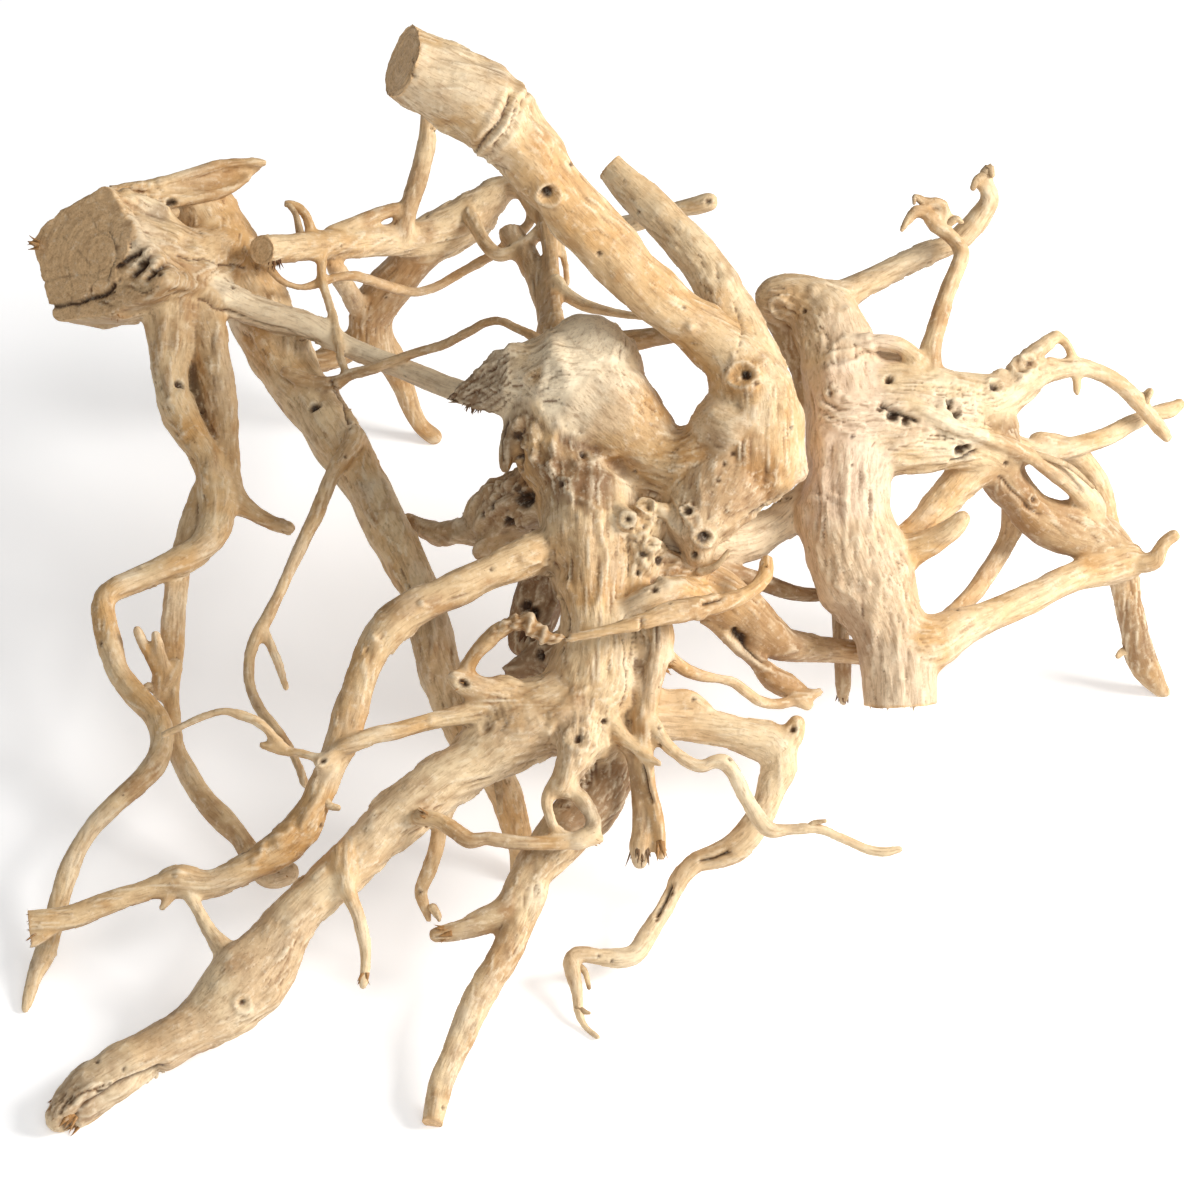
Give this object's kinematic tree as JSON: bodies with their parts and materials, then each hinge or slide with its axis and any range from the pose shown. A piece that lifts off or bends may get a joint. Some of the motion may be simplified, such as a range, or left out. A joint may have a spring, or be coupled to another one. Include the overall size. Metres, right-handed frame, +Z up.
{
  "type": "driftwood branch",
  "caption": "Bleached, sand-worn tangle of driftwood root and branch with sawn ends, standing on its low limb tips, for display or an aquarium.",
  "frame": {"origin": "bottom centre of the bounding box, on the surface that the branch stands on", "axes": "+X to the viewer's right, along the longest extent, +Y away from the viewer, +Z up"},
  "size_m": [0.6301, 0.6029, 0.3977],
  "materials": {
    "bleached_wood": "dry, matt, sand-worn"
  },
  "bodies": {
    "root": {"driftwood_branch": "bleached_wood"}
  },
  "joints": []
}
